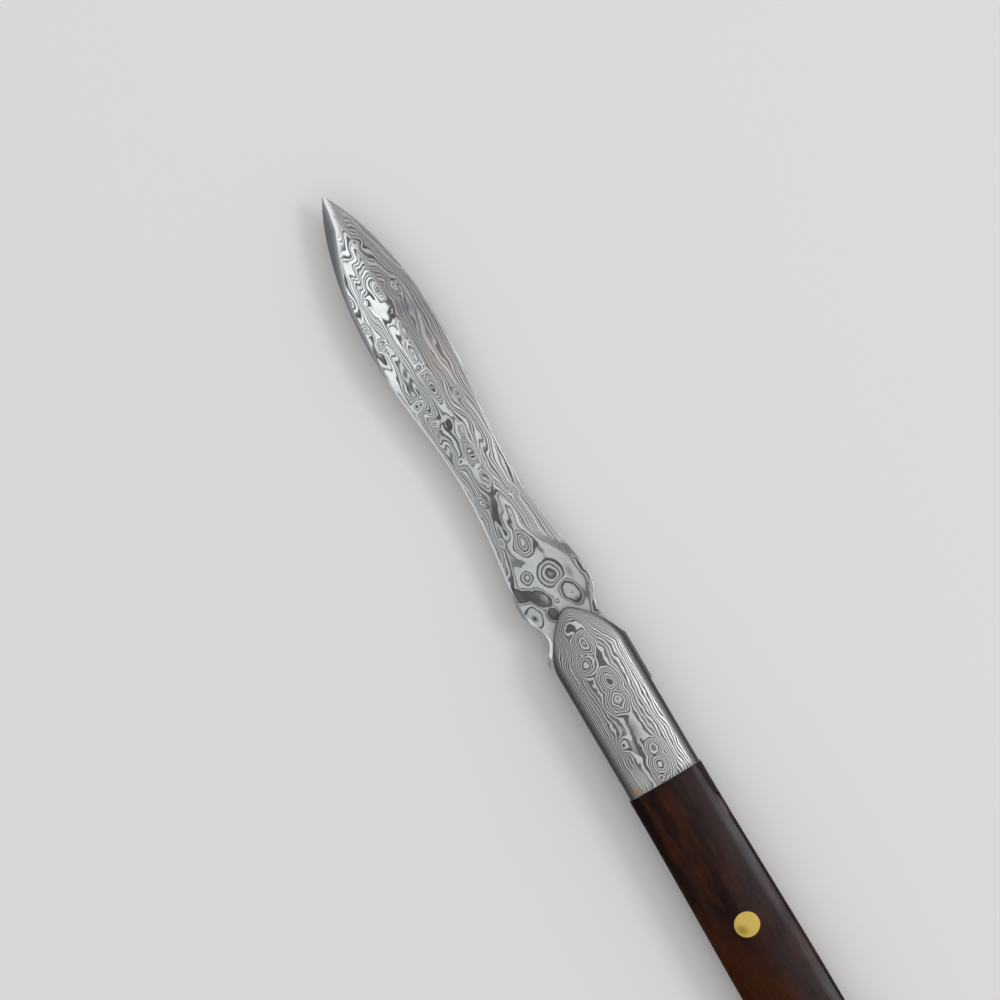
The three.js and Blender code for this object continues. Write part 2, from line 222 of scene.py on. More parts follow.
print("layers:", len(BLADE_LAYERS), "in the blade,", len(BOLSTER_LAYERS), "in the bolsters")

# %% [markdown]
# Hammering leaves waves in the layers at three scales: long swells along the blade, ripples and a fine
# tremble. Where the smith drilled or punched the stack, the layers bulge or sink, and grinding shows a
# ringed eye. One strong noise could do for all of it, but then the eyes would land anywhere. So noise
# makes the waves, and each eye is a soft hill or hollow. Towards the neck the waves are calmer, so the
# islands there are broad.

# %% Waves and eyes in the layers
CALM_X, LIVELY_X = 19.0, 32.0
FINE_WAVE, FINE_SHARE = 2.0, 0.7
EYE_DEPTH = 1.5


def wobbled(tree, in_mm, size, reach, strength):
    place = add_node(tree, "TexNoise", {"Vector": in_mm, "Scale": 1 / size, "Detail": 1.0},
                     output="Color")
    steps = [("SUBTRACT", {1: (0.5, 0.5, 0.5)}), ("MULTIPLY", {1: (reach, reach, 0)}),
             ("SCALE", {"Scale": strength}), ("ADD", {1: in_mm})]
    for operation, operand in steps:
        place = add_node(tree, "VectorMath", {0: place, **operand}, operation=operation)
    return place


def add_waves(tree, in_mm, height, waves, strength):
    for sizes, rise, shift in waves:
        noise = stretched_noise(tree, in_mm, sizes, shift, detail=1.0)
        share = strength if sizes[0] > FINE_WAVE else do_math(tree, "MAXIMUM", strength, FINE_SHARE)
        wave = product(tree, remap(tree, noise, 0, 1, -rise, rise), share)
        height = do_math(tree, "ADD", height, wave)
    return height


def eye_height(tree, in_mm, top, eyes):
    hills, hollows = 0.0, 0.0
    for x, y, length, width, rise, *lie in eyes:
        spot = soft_spot(tree, in_mm, (x, y, top), (length, width, EYE_DEPTH), *lie)
        lift = product(tree, spot, rise)
        if rise > 0:
            hills = do_math(tree, "MAXIMUM", lift, hills)
        else:
            hollows = do_math(tree, "MINIMUM", lift, hollows)
    return do_math(tree, "ADD", hills, hollows)


print("waves and eyes ready")

# %% [markdown]
# Now the height of a point in the stack is put together: how deep it was ground, the waves, the eyes, and
# an arch that lets the layers fall towards the spine. The bevel takes smaller waves, so its lines run
# straighter. The eyes are drawn on places that wobble a little, because round eyes would look printed.

# %% Height of a point in the stack
WOBBLE_SIZE, LEAST_WOBBLE = 1.6, 0.5
BEVEL_Y, BEVEL_X = (-1.4, 0.2), (20, 28)
ARCH_GROWTH = 7


def layer_height(tree, in_mm, top, waves, eyes, calm, bevel_calm, arch, wobble, gain):
    x, y, z = split(tree, in_mm)
    strength = remap(tree, x, CALM_X, LIVELY_X, calm, 1.0, "SMOOTHSTEP")
    on_bevel = product(tree, remap(tree, y, *BEVEL_Y, 1 - bevel_calm, 0), remap(tree, x, *BEVEL_X, 0, 1))
    wave_strength = product(tree, strength, do_math(tree, "SUBTRACT", 1.0, on_bevel))
    depth = product(tree, do_math(tree, "SUBTRACT", z, top), gain)
    height = add_waves(tree, in_mm, depth, waves, wave_strength)
    spine_side = do_math(tree, "MAXIMUM", y, 0.0)
    slope = do_math(tree, "ADD", product(tree, spine_side, arch / ARCH_GROWTH), arch)
    fall = product(tree, spine_side, slope, remap(tree, x, CALM_X, LIVELY_X, 0, 1))
    uneven = wobbled(tree, in_mm, WOBBLE_SIZE, wobble, do_math(tree, "MAXIMUM", strength, LEAST_WOBBLE))
    height = do_math(tree, "SUBTRACT", height, fall)
    return do_math(tree, "ADD", height, eye_height(tree, uneven, top, eyes))


print("layer heights ready")

# %% [markdown]
# The light layers aren't painted equally light along the knife: their tones carry a painted reflection,
# where a slightly warped blade would catch more or less of the light. Noise could vary them, but these
# tones follow the length, so a colour ramp along X holds a few stops. The same tool stores a line beside
# the centre line, and tells how far past that line a point lies.

# %% Tones and lines along the knife
LINE_SCALE = 10.0


def tone_along(tree, x, stops, tint, kind="EASE"):
    first, last = stops[0][0], stops[-1][0]
    node = tree.nodes.new("ShaderNodeValToRGB")
    tree.links.new(remap(tree, x, first, last, 0, 1), node.inputs["Fac"])
    ramp = node.color_ramp
    ramp.interpolation = kind
    while len(ramp.elements) < len(stops):
        ramp.elements.new(0.5)
    for element, (place, tone) in zip(ramp.elements, stops):
        element.position = (place - first) / (last - first)
        element.color = (*[tone * share for share in tint], 1)
    return node.outputs["Color"]


def beyond(tree, x, y, line):
    stops = [(place, line_y / LINE_SCALE) for place, line_y in line]
    limit = tone_along(tree, x, stops, (1, 1, 1), "LINEAR")
    return do_math(tree, "SUBTRACT", y, product(tree, limit, LINE_SCALE))


print("tones and lines ready")

# %% [markdown]
# Etching leaves the dark layers matt and a little lower than the light ones. One recipe serves the blade
# and the bolsters: the layers, a smoky cloud, stains and zones over them, fine scratches in the roughness
# and a shallow relief. Two materials could be wired apart, but one recipe keeps them the same steel.

# %% Steel with its layers and stains
SMOKE = (0.22, 0.22, 0.225)
EDGE_TINT = (1, 1, 0.99)


def patterned_steel(name, height_of, layers, darks, spine_tones_and_sheen, edge_tones_and_sheen, spine_tint, stains, zones):
    material, tree, shader, in_mm = start_material(name)
    layer = layer_ramp(tree, height_of(tree, in_mm), layers)
    x, y, z = split(tree, in_mm)
    cloud = stretched_noise(tree, in_mm, (7.0, 3.0, 3.0), detail=4.0, roughness=0.6)
    smoke = remap(tree, cloud, 0.35, 0.65, 0, 1)
    # On the blade these tones carry a painted reflection: brighter on the spine flat towards the tip,
    # darker on the bevel.
    spine_share = remap(tree, y, -0.9, 0.3, 0, 1, "SMOOTHSTEP")
    light = mix_colour(tree, spine_share, tone_along(tree, x, edge_tones_and_sheen, EDGE_TINT),
                       tone_along(tree, x, spine_tones_and_sheen, spine_tint))
    light = mix_colour(tree, product(tree, smoke, 0.25), light, SMOKE)
    dark = mix_colour(tree, smoke, (darks[0],) * 3, (darks[1],) * 3)
    colour = add_stains(tree, in_mm, mix_colour(tree, layer, dark, light), stains)
    for zone_of, tone in zones:
        colour = mix_colour(tree, zone_of(tree, x, y, z), colour, tone)
    scratches = stretched_noise(tree, in_mm, (6.0, 0.05, 0.05), detail=3.0)
    rough = do_math(tree, "ADD", remap(tree, layer, 0, 1, 0.44, 0.34),
                    remap(tree, scratches, 0, 1, -0.05, 0.05))
    feed(tree, shader, {"Base Color": colour, "Metallic": 1.0, "Roughness": rough,
                        "Normal": relief(tree, layer, 0.006, 0.2)})
    return material


print("steel recipe ready")

# %% [markdown]
# Some places on the blade get colours of their own: the plain tip; the false edge, ground plain and
# painted darker as painted shade, darkest towards the spine; a painted highlight along its ridge and on
# the rim of the spine; and a darker edge of the tang. They could be faces with their own materials, but
# their borders are soft, so each zone is a mask that follows from the place.

# %% Zones of the blade
RIDGE_LINE = [(54.0, 5.46), (64.4, 4.80), (67.5, 4.47), (70.5, 3.75), (73.2, 2.85), (75.8, 1.80),
              (78.4, 0.72), (81.4, 0.17), (TIP_X, 0.0)]


def plain_tip_zone(tree, x, y, z):
    return remap(tree, x, 76.5, 80.5, 0, 0.8)


# The false edge is ground plain, and its tone is set darker and bluish as painted shade.
def false_edge_and_shade_zone(tree, x, y, z):
    return remap(tree, beyond(tree, x, y, RIDGE_LINE), -0.05, 0.25, 0, 0.9, "SMOOTHSTEP")


def shaded_spine_zone(tree, x, y, z):
    return remap(tree, beyond(tree, x, y, RIDGE_LINE), 0.05, 0.9, 0, 0.7)


# Painted highlight: a near-white band along the ridge of the false edge towards the tip.
def painted_ridge_highlight_zone(tree, x, y, z):
    band = between(tree, beyond(tree, x, y, RIDGE_LINE), -0.75, -0.1, 0.05, 0.25)
    return product(tree, band, remap(tree, x, 71.5, 77.5, 0, 0.85))


# The edge of the tang behind the neck is darker.
def tang_edge_zone(tree, x, y, z):
    return product(tree, remap(tree, y, -5.6, -5.95, 0, 0.85), remap(tree, x, 8.6, 7.6, 0, 1))


# Painted highlight: the rim along the spine is painted almost white, where it would catch the light.
def painted_rim_highlight_zone(tree, x, y, z):
    near_rim = remap(tree, beyond(tree, x, y, rim_line), -0.34, -0.18, 0, 0.85)
    return product(tree, near_rim, remap(tree, x, 55, 61, 1, 0))


BLADE_ZONES = [(plain_tip_zone, (0.25, 0.265, 0.26)), (painted_rim_highlight_zone, (0.95, 0.97, 1.0)),
               (false_edge_and_shade_zone, (0.33, 0.345, 0.36)), (shaded_spine_zone, (0.07, 0.075, 0.082)),
               (painted_ridge_highlight_zone, (0.9, 0.9, 0.9)), (tang_edge_zone, (0.10, 0.10, 0.105))]
print("zones on the blade:", len(BLADE_ZONES))

# %% [markdown]
# The larger eyes and islands of the blade sit in set places, so each has its own place, size and rise.
# Noise alone would strew them anywhere. Some are turned, and some have a flat top, which gives a broad
# island. Near the neck the layers bend down along the rims, so that lines follow the outline there.

# %% Waves and eyes of the blade: X, Y, half length, half width, rise, and for some a turn and a flat top
BLADE_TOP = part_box("blade")[1].z / MM
BLADE_WAVES = [((12.0, 2.8, 5.0), 0.32, (3.0, 1.0, 0.0)), ((5.0, 2.0, 3.0), 0.13, (1.0, 6.0, 0.0)),
               ((1.5, 0.9, 1.0), 0.012, (4.0, 2.0, 0.0))]
BLADE_EYES = [
    (75.3, -1.2, 1.4, 1.1, 0.16), (66.6, 2.7, 1.2, 1.0, 0.18), (60.2, -0.5, 2.6, 1.1, 0.22),
    (67.4, -0.1, 1.8, 0.9, 0.11), (64.7, -0.1, 1.5, 0.9, -0.11),
    (53.9, 0.3, 1.4, 1.0, -0.18), (50.4, 0.1, 3.0, 1.5, 0.26), (59.7, 3.8, 1.6, 1.2, 0.20),
    (62.9, 4.4, 1.4, 0.9, -0.16), (45.6, 2.6, 1.4, 1.2, 0.22), (49.0, 3.4, 1.9, 1.4, -0.20),
    (47.8, -2.8, 1.6, 1.1, 0.18), (66.5, -2.0, 2.2, 1.5, -0.18), (42.6, -0.5, 1.5, 0.9, 0.18),
    (38.8, 0.0, 3.2, 1.4, 0.26), (34.5, 0.0, 2.3, 1.1, 0.22), (38.4, 2.6, 1.6, 1.2, 0.20),
    (31.5, 2.8, 1.5, 1.2, 0.20), (30.6, -2.6, 1.6, 1.0, 0.20), (24.8, 3.3, 1.2, 0.9, 0.16),
    (23.1, 0.8, 3.0, 2.2, 0.15), (17.1, -0.75, 3.0, 2.9, 0.105), (18.3, 2.5, 1.8, 1.5, 0.085),
    (13.2, -2.2, 3.3, 1.9, -0.103, 16, 0.3), (13.0, -2.35, 0.45, 0.45, 0.022),
    (13.1, 0.5, 0.8, 0.8, 0.068), (16.2, 4.5, 3.0, 1.7, -0.075, 62, 0.35),
    (14.5, 2.4, 3.2, 1.8, -0.075, 38, 0.35), (11.6, 1.7, 1.7, 1.4, -0.064, 0, 0.35),
    (12.5, 4.7, 2.4, 2.0, 0.045, 0, 0.5),
]
RIM_FALLS = [(-1.0, 1.5, 0.11, (8.0, 9.0, 18.0, 21.0)), (1.0, 1.8, 0.17, (17.0, 19.0, 26.0, 30.0))]


def blade_height(tree, in_mm):
    height = layer_height(tree, in_mm, BLADE_TOP, BLADE_WAVES, BLADE_EYES,
                          calm=0.08, bevel_calm=0.6, arch=0.045, wobble=1.2, gain=0.85)
    x, y, z = split(tree, in_mm)
    patches = stretched_noise(tree, in_mm, (3.5, 3.5, 3.5), (2.0, 0.0, 0.0))
    lively = remap(tree, patches, 0.35, 0.65, 0.4, 1.2)
    for side, reach, fall, stretch in RIM_FALLS:
        inside = beyond(tree, x, product(tree, y, side), rim_line)
        drop = product(tree, remap(tree, inside, -reach, 0, 0, fall), between(tree, x, *stretch), lively)
        height = do_math(tree, "SUBTRACT", height, drop)
    return height


print("eyes on the blade:", len(BLADE_EYES))

# %% [markdown]
# The finished blade steel adds the tones along the length, spine side and edge side apart, with their
# painted reflection, and a few stains: a darker patch and a warm tint on the bevel, and smoky places by
# the waist and the neck. A stain could be a picture, but a soft spot is enough, because real stains have
# no sharp border.

# %% Steel of the blade
# Tones of the light layers, with a painted reflection along the blade.
SPINE_TONES_AND_SHEEN = [(12, 0.48), (30, 0.54), (50, 0.62), (57, 0.88), (74, 1.0)]
EDGE_TONES_AND_SHEEN = [(12, 0.44), (26, 0.48), (38, 0.53), (50, 0.43), (60, 0.31), (74, 0.38), (83, 0.48)]
BLADE_STAINS = [((62.9, -2.7, BLADE_TOP), (3.6, 1.7, 2.0), 59.6, 0.55, (0.10, 0.11, 0.125)),
                ((54.0, -3.4, BLADE_TOP), (9.0, 2.6, 2.0), 0.0, 0.25, (0.42, 0.34, 0.31)),
                ((15.2, 3.2, BLADE_TOP), (3.6, 1.7, 2.0), 42.0, 0.5, (0.05, 0.047, 0.042)),
                ((12.4, 4.6, BLADE_TOP), (0.9, 0.6, 2.0), 20.0, 0.95, (0.012, 0.011, 0.010)),
                ((16.0, -3.5, BLADE_TOP), (1.9, 0.8, 2.0), 0.0, 0.6, (0.12, 0.105, 0.095)),
                ((29.5, 1.7, BLADE_TOP), (4.2, 1.1, 2.0), 0.0, 0.75, (0.07, 0.07, 0.07)),
                ((11.6, 2.4, BLADE_TOP), (1.7, 1.1, 2.0), 0.0, 0.5, (0.08, 0.07, 0.06)),
                ((11.6, -2.6, BLADE_TOP), (1.1, 1.4, 2.0), 0.0, 0.75, (0.065, 0.062, 0.058)),
                ((11.9, -4.0, BLADE_TOP), (1.6, 0.9, 2.0), 0.0, 0.7, (0.10, 0.095, 0.09))]
blade_steel = patterned_steel(
    "patterned_blade_steel", blade_height, BLADE_LAYERS, darks=(0.040, 0.105), spine_tones_and_sheen=SPINE_TONES_AND_SHEEN,
    edge_tones_and_sheen=EDGE_TONES_AND_SHEEN, spine_tint=(0.96, 1.0, 1.01), stains=BLADE_STAINS, zones=BLADE_ZONES)
print("made", blade_steel.name)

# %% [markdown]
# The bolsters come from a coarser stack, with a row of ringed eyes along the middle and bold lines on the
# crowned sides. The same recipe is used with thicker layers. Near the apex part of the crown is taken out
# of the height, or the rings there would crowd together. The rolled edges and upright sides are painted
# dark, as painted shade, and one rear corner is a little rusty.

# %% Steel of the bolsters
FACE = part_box("front_bolster")[1].z / MM
BOLSTER_WAVES = [((10.0, 4.0, 5.0), 0.17, (11.0, 4.0, 2.0)), ((2.6, 1.4, 3.0), 0.075, (2.0, 5.0, 0.0)),
                 ((1.1, 0.7, 1.0), 0.016, (7.0, 1.0, 0.0))]
BOLSTER_EYES = [
    (8.7, 1.1, 2.1, 1.8, 0.20), (5.6, 0.3, 2.7, 2.5, 0.36), (2.4, 1.6, 2.5, 2.3, 0.33),
    (-1.3, -0.4, 2.8, 2.5, 0.36), (-4.5, 0.1, 3.0, 2.7, 0.38), (-10.9, 3.0, 2.0, 1.7, 0.26),
    (-13.5, -1.2, 2.3, 2.0, 0.28), (-16.0, -0.9, 2.8, 2.4, 0.36), (-17.9, 0.4, 1.5, 1.3, 0.24),
]
BOLSTER_STAINS = [((-9.4, 0.2, FACE), (3.6, 1.2, 1.0), 0.0, 0.7, (0.16, 0.16, 0.16)),
                  ((-11.2, 1.5, FACE), (4.6, 0.6, 1.0), -6.0, 0.6, (0.52, 0.53, 0.54)),
                  ((-16.6, 3.0, FACE - 0.2), (3.2, 2.0, 1.2), 0.0, 0.8, (0.40, 0.40, 0.41)),
                  ((-17.9, 4.4, FACE - 0.3), (1.4, 0.9, 1.2), 0.0, 0.75, (0.40, 0.23, 0.10))]
BOLSTER_TONES = [(-19, 0.52), (12, 0.52)]
APEX_SPOT = ((8.3, 0.8, FACE - 0.4), (4.0, 3.4, 1.8))


def depth_below_face(tree, z):
    from_middle = do_math(tree, "ABSOLUTE", do_math(tree, "SUBTRACT", z, FACE / 2))
    return do_math(tree, "SUBTRACT", FACE / 2, from_middle)


# Painted shade: the rolled-over edges are painted dark, and the upright sides below them less so.
def shaded_side_zone(tree, x, y, z):
    below_face = depth_below_face(tree, z)
    rolled_over = remap(tree, below_face, 0.75, 1.25, 0, 0.9, "SMOOTHSTEP")
    return product(tree, rolled_over, remap(tree, below_face, 1.75, 2.15, 1, 0.35))


def bolster_layer_height(tree, in_mm):
    height = layer_height(tree, in_mm, FACE, BOLSTER_WAVES, BOLSTER_EYES,
                          calm=1.0, bevel_calm=1.0, arch=0.0, wobble=0.7, gain=1.0)
    z = split(tree, in_mm)[2]
    lost = product(tree, do_math(tree, "SUBTRACT", FACE, z), 0.7)
    flatter = product(tree, soft_spot(tree, in_mm, *APEX_SPOT, plateau=0.4), lost)
    return do_math(tree, "ADD", height, flatter)


bolster_steel = patterned_steel(
    "patterned_bolster_steel", bolster_layer_height, BOLSTER_LAYERS, darks=(0.055, 0.110),
    spine_tones_and_sheen=BOLSTER_TONES, edge_tones_and_sheen=BOLSTER_TONES, spine_tint=EDGE_TINT, stains=BOLSTER_STAINS,
    zones=[(shaded_side_zone, (0.045, 0.045, 0.046))])
print("made", bolster_steel.name, "with", len(BOLSTER_EYES), "eyes")

# %% [markdown]
# The scales are a dense dark rosewood, oiled and polished. A wood picture would show seams, so the colour
# comes from noise that is stretched along X, as the grain runs. Broad flames set the colour, fine lines
# the grain, and short dark pores sink a little. A streak of lighter sapwood starts by the front rivet and
# widens to the butt.

# %% Grain of the rosewood
DARK_BROWN, BROWN, FLAME_RED = (0.008, 0.0034, 0.0028), (0.021, 0.0078, 0.0058), (0.052, 0.0150, 0.0055)
GRAIN_LINE, SAPWOOD, PORE = (0.009, 0.0042, 0.0038), (0.052, 0.0125, 0.0015), (0.004, 0.002, 0.002)
SAP_START_X = -36.0


def wood_noises(tree, in_mm):
    flames = stretched_noise(tree, in_mm, (8.0, 2.4, 2.4), (5.0, 2.0, 0.0), detail=3.0, roughness=0.55)
    broad = stretched_noise(tree, in_mm, (13.0, 4.5, 4.5), (1.0, 3.0, 0.0), detail=3.0)
    grain = stretched_noise(tree, in_mm, (9.0, 0.20, 0.20), detail=3.0, roughness=0.6)
    pores = stretched_noise(tree, in_mm, (3.2, 0.09, 0.09), (0.0, 7.0, 0.0), detail=1.0)
    return flames, broad, grain, pores


def heartwood(tree, flames, broad, grain):
    brown = mix_colour(tree, remap(tree, broad, 0.35, 0.65, 0, 1), DARK_BROWN, BROWN)
    red = mix_colour(tree, remap(tree, flames, 0.47, 0.64, 0, 0.9), brown, FLAME_RED)
    return mix_colour(tree, remap(tree, grain, 0.40, 0.70, 0, 0.45), red, GRAIN_LINE)


def sapwood_share(tree, x, y, flames, grain):
    wander = do_math(tree, "ADD", y, remap(tree, flames, 0, 1, -2.0, 2.0))
    behind = do_math(tree, "SUBTRACT", SAP_START_X, x)
    reach = do_math(tree, "ADD", wander, remap(tree, behind, 0, 22, -3.2, 0.4))
    inner_side = remap(tree, reach, -1.6, 1.4, 0, 1, "SMOOTHSTEP")
    return product(tree, inner_side, remap(tree, behind, 0, 14, 0, 1, "SMOOTHSTEP"),
                   remap(tree, grain, 0.3, 0.7, 0.85, 0.45))


print("grain ready")

# %% [markdown]
# The wood is painted paler towards the edge side, palest along the edge itself and just behind the thumb
# scallop: a painted sheen and painted highlights where the polished wood would catch the light. The wall
# of the scallop is painted dark, as painted shade. Each of these could be its own material, but none has a
# border, so each is mixed over the grain by a mask.

# %% Painted sheen, highlights and shade on the rosewood
PAINTED_SHEEN, PAINTED_EDGE_HIGHLIGHT, PAINTED_SPOT_HIGHLIGHT = (0.064, 0.044, 0.046), (0.12, 0.11, 0.115), (0.17, 0.12, 0.115)
PAINTED_SCALLOP_SHADE = (0.008, 0.0035, 0.0035)
SCALLOP_EDGE = [(-25.1, 5.95), (-23.6, 5.44), (-18.7, 5.14)]
PAINTED_SPOT_PLACE = ((-26.6, -5.65, FACE - 0.85), (3.2, 0.65, 0.9))


def painted_wood_sheen(tree, in_mm, colour, broad):
    x, y, z = split(tree, in_mm)
    below_face = depth_below_face(tree, z)
    # Painted sheen: the top face is painted paler and greyer towards the edge side, where it would catch
    # the light.
    sheen_share = product(tree, remap(tree, y, 2.0, -5.0, 0, 0.62, "SMOOTHSTEP"),
                     remap(tree, below_face, 0.95, 0.70, 0, 1), remap(tree, broad, 0.38, 0.60, 0.5, 1))
    colour = mix_colour(tree, sheen_share, colour, PAINTED_SHEEN)
    # Painted highlight: a pale band along the crease on the edge side of the wood.
    edge_highlight_share = product(tree, between(tree, below_face, 0.42, 0.62, 0.80, 0.98),
                   remap(tree, broad, 0.38, 0.60, 0.25, 0.75), remap(tree, y, -3.5, -4.5, 0, 1))
    colour = mix_colour(tree, edge_highlight_share, colour, PAINTED_EDGE_HIGHLIGHT)
    # Painted highlight: a pale spot on the edge just behind the thumb scallop.
    spot_highlight_share = product(tree, soft_spot(tree, in_mm, *PAINTED_SPOT_PLACE), 0.7)
    return mix_colour(tree, spot_highlight_share, colour, PAINTED_SPOT_HIGHLIGHT)


# Painted shade: the leaning wall of the thumb scallop is painted almost black.
def painted_scallop_shade_share(tree, x, y, z):
    past_edge = beyond(tree, x, product(tree, y, -1.0), SCALLOP_EDGE)
    return product(tree, remap(tree, past_edge, -0.04, 0.08, 0, 0.85), remap(tree, x, -24.9, -24.6, 0, 1),
                   remap(tree, z, FACE / 2, FACE / 2 + 1, 0, 1))


def rosewood_finish():
    material, tree, shader, in_mm = start_material("polished_rosewood")
    x, y, z = split(tree, in_mm)
    flames, broad, grain, pores = wood_noises(tree, in_mm)
    colour = heartwood(tree, flames, broad, grain)
    colour = mix_colour(tree, sapwood_share(tree, x, y, flames, grain), colour, SAPWOOD)
    colour = painted_wood_sheen(tree, in_mm, colour, broad)
    colour = mix_colour(tree, painted_scallop_shade_share(tree, x, y, z), colour, PAINTED_SCALLOP_SHADE)
    dark_pores = remap(tree, pores, 0.62, 0.70, 0, 0.6)
    height = do_math(tree, "SUBTRACT", remap(tree, grain, 0, 1, 0, 0.4), dark_pores)
    feed(tree, shader, {"Base Color": mix_colour(tree, dark_pores, colour, PORE),
                        "Roughness": remap(tree, grain, 0.3, 0.7, 0.24, 0.34),
                        "Specular IOR Level": 0.05, "Normal": relief(tree, height, 0.01, 0.25)})
    return material


rosewood = rosewood_finish()
print("made", rosewood.name)

# %% [markdown]
# Liners and pins are plain ground metal: one colour, a little clouded, with fine marks from the belt. A
# single flat colour would look like paint, so the marks change the roughness. They run along the plates,
# as the grain of the wood does. The front rivet has one tarnished place.

# %% Plain metals
def ground_metal(name, dull, clean, mark_sizes, roughness, stains=()):
    material, tree, shader, in_mm = start_material(name)
    cloud = stretched_noise(tree, in_mm, (5.0, 3.0, 3.0), detail=4.0)
    marks = stretched_noise(tree, in_mm, mark_sizes, detail=3.0, roughness=0.6)
    tone = mix_colour(tree, remap(tree, cloud, 0.3, 0.7, 0, 1), dull, clean)
    rough = remap(tree, marks, 0.25, 0.75, roughness - 0.08, roughness + 0.10)
    feed(tree, shader, {"Base Color": add_stains(tree, in_mm, tone, stains), "Metallic": 1.0,
                        "Roughness": rough, "Normal": relief(tree, marks, 0.004, 0.2)})
    return material


TARNISH = [((-43.9, 1.35, FACE), (1.5, 1.1, 2.0), 30.0, 0.9, (0.27, 0.165, 0.03))]
steel = ground_metal("satin_liner_steel", (0.46, 0.46, 0.46), (0.53, 0.53, 0.52), (8.0, 0.06, 0.06), 0.36)
brass = ground_metal("flush_brass", (0.44, 0.305, 0.07), (0.57, 0.41, 0.105), (1.5, 0.10, 0.5), 0.34,
                     TARNISH)
bronze = ground_metal("washer_bronze", (0.42, 0.24, 0.10), (0.56, 0.33, 0.15), (0.5, 0.5, 0.08), 0.40)
print("made", steel.name, brass.name, bronze.name)

# %% [markdown]
# The pieces share a few tools. A skin is a flat grid whose columns become the sections of a piece, one
# after the other, as a boat is planked over its frames. Faces could be listed by hand, but the grid
# operator already makes them. A finished bmesh is closed and shaded, and becomes an object at the origin
# that stands for its CAD node and rides on that node's body.

# %% Tools for the pieces
def skin(sections):
    along, around = len(sections), len(sections[0])
    bm = bmesh.new()
    bmesh.ops.create_grid(bm, x_segments=along - 1, y_segments=around, size=1)
    for vert in bm.verts:
        i = round((vert.co.x + 1) / 2 * (along - 1))
        j = round((vert.co.y + 1) / 2 * around) % around
        vert.co = Vector(sections[i][j]) * MM
    bmesh.ops.remove_doubles(bm, verts=bm.verts, dist=1e-7)
    return bm


def close_and_shade(bm, sharp, lengthwise):
    bmesh.ops.holes_fill(bm, edges=[edge for edge in bm.edges if edge.is_boundary], sides=0)
    bmesh.ops.recalc_face_normals(bm, faces=bm.faces)
    for face in bm.faces:
        face.smooth = True
    for edge in bm.edges:
        run = edge.verts[1].co - edge.verts[0].co
        limit = lengthwise if abs(run.x) > 2 * abs(run.y) else sharp
        edge.smooth = len(edge.link_faces) == 2 and edge.calc_face_angle() < math.radians(limit)


def put_in_scene(name, data):
    item = bpy.data.objects.new(name, data)
    bpy.context.scene.collection.objects.link(item)
    return item


def mesh_object(name, bm, material):
    mesh = bpy.data.meshes.new(name)
    bm.to_mesh(mesh)
    bm.free()
    mesh.materials.append(material)
    return put_in_scene(name, mesh)


def add_piece(name, bm, material, node, sharp=35, lengthwise=35):
    close_and_shade(bm, sharp, lengthwise)
    piece = mesh_object(name, bm, material)
    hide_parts(node)
    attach(piece, BODY[node])
    print(name, len(piece.data.polygons), "faces")
    return piece


print("piece tools ready")

# %% [markdown]
# The blade is ground from a plate: a rim or a false edge on the spine, a flat, a ridge near the centre
# line, and a wide bevel down to the edge, which runs out at a slanting plunge line before the lobes.
# Cutting a block with planes would give the bevel but not its soft run-out. So each point of the outline
# gets its own section.

# %% One section of the blade
BLADE_MID, HALF_THICK = 5.3, 1.1
TAPER_X, TAPER = 66.0, 0.0421
RIM_WIDTH, NECK_RIM, RIM_DROP = 0.30, 0.02, 0.09
GRIND_Y, BEVEL_SLOPE = -0.3, 0.1457
PLUNGE_X, PLUNGE_SLANT = 25.0, 1.46
PLUNGE_START, PLUNGE_END = -0.6, 2.2
THIN_HALF, EDGE_HALF = 0.14, 0.1
NECK_RUN = 3


def smooth_step(low, high, value):
    share = min(max((value - low) / (high - low), 0), 1)
    return share * share * (3 - 2 * share)


def false_edge_width(x, half):
    ridge_x, ridge_y = zip(*RIDGE_LINE)
    return max(0.0, half - float(np.interp(x, ridge_x, ridge_y))) if x > ridge_x[0] else 0.0


def blade_section(x, half):
    near_neck = smooth_step(NECK_X, NECK_X + NECK_RUN, x)
    top = HALF_THICK - TAPER * max(0, x - TAPER_X)
    grind = max(GRIND_Y, -0.4 * half)
    rim = NECK_RIM + (RIM_WIDTH - NECK_RIM) * near_neck
    false_edge = false_edge_width(x, half)
    border = min(max(rim, false_edge), 0.9 * (half - grind))
    rim = min(rim, 0.4 * (half + grind))
    spine = list(np.linspace(half, half - border, 7))
    flat = list(np.linspace(half - border, grind, 7))[1:]
    bevel = list(np.linspace(grind, rim - half, 9))[1:]
    heights = []
    for y in spine:
        down = y - half + border
        hollow = (0.16 * down + 0.07 * down ** 2) * top / HALF_THICK * (false_edge > 0)
        heights.append(max(top - max(hollow, RIM_DROP * near_neck * down / border), THIN_HALF))
    for y in flat + bevel:
        plunge = PLUNGE_X - PLUNGE_SLANT * max(0, grind - y)
        full = smooth_step(plunge + PLUNGE_START, plunge + PLUNGE_END, x)
        drop = BEVEL_SLOPE * max(0, grind - y) * full
        heights.append(max(top - drop, THIN_HALF))
    heights.append(max(heights[-1] - RIM_DROP * near_neck, EDGE_HALF))
    across = spine + flat + bevel + [-half]
    upper = [(x, y, BLADE_MID + h) for y, h in zip(across, heights)]
    lower = [(x, y, BLADE_MID - h) for y, h in zip(across, heights)]
    return upper + lower[::-1]


blade_sections = [blade_section(x, half) for x, half in leaf]
print("points around a section:", len(blade_sections[0]))

# %% [markdown]
# Behind the neck the blade goes on as the tang, a flat plate that turns between the liners. On the spine
# side it has a thin hook, on the other a straight edge that stands a little proud of the bolsters and
# ends in the step where the lock bears. The rear is round about the pivot, so the outline is curves, an
# arc and straight runs, and its front row of points repeats the last section of the leaf.

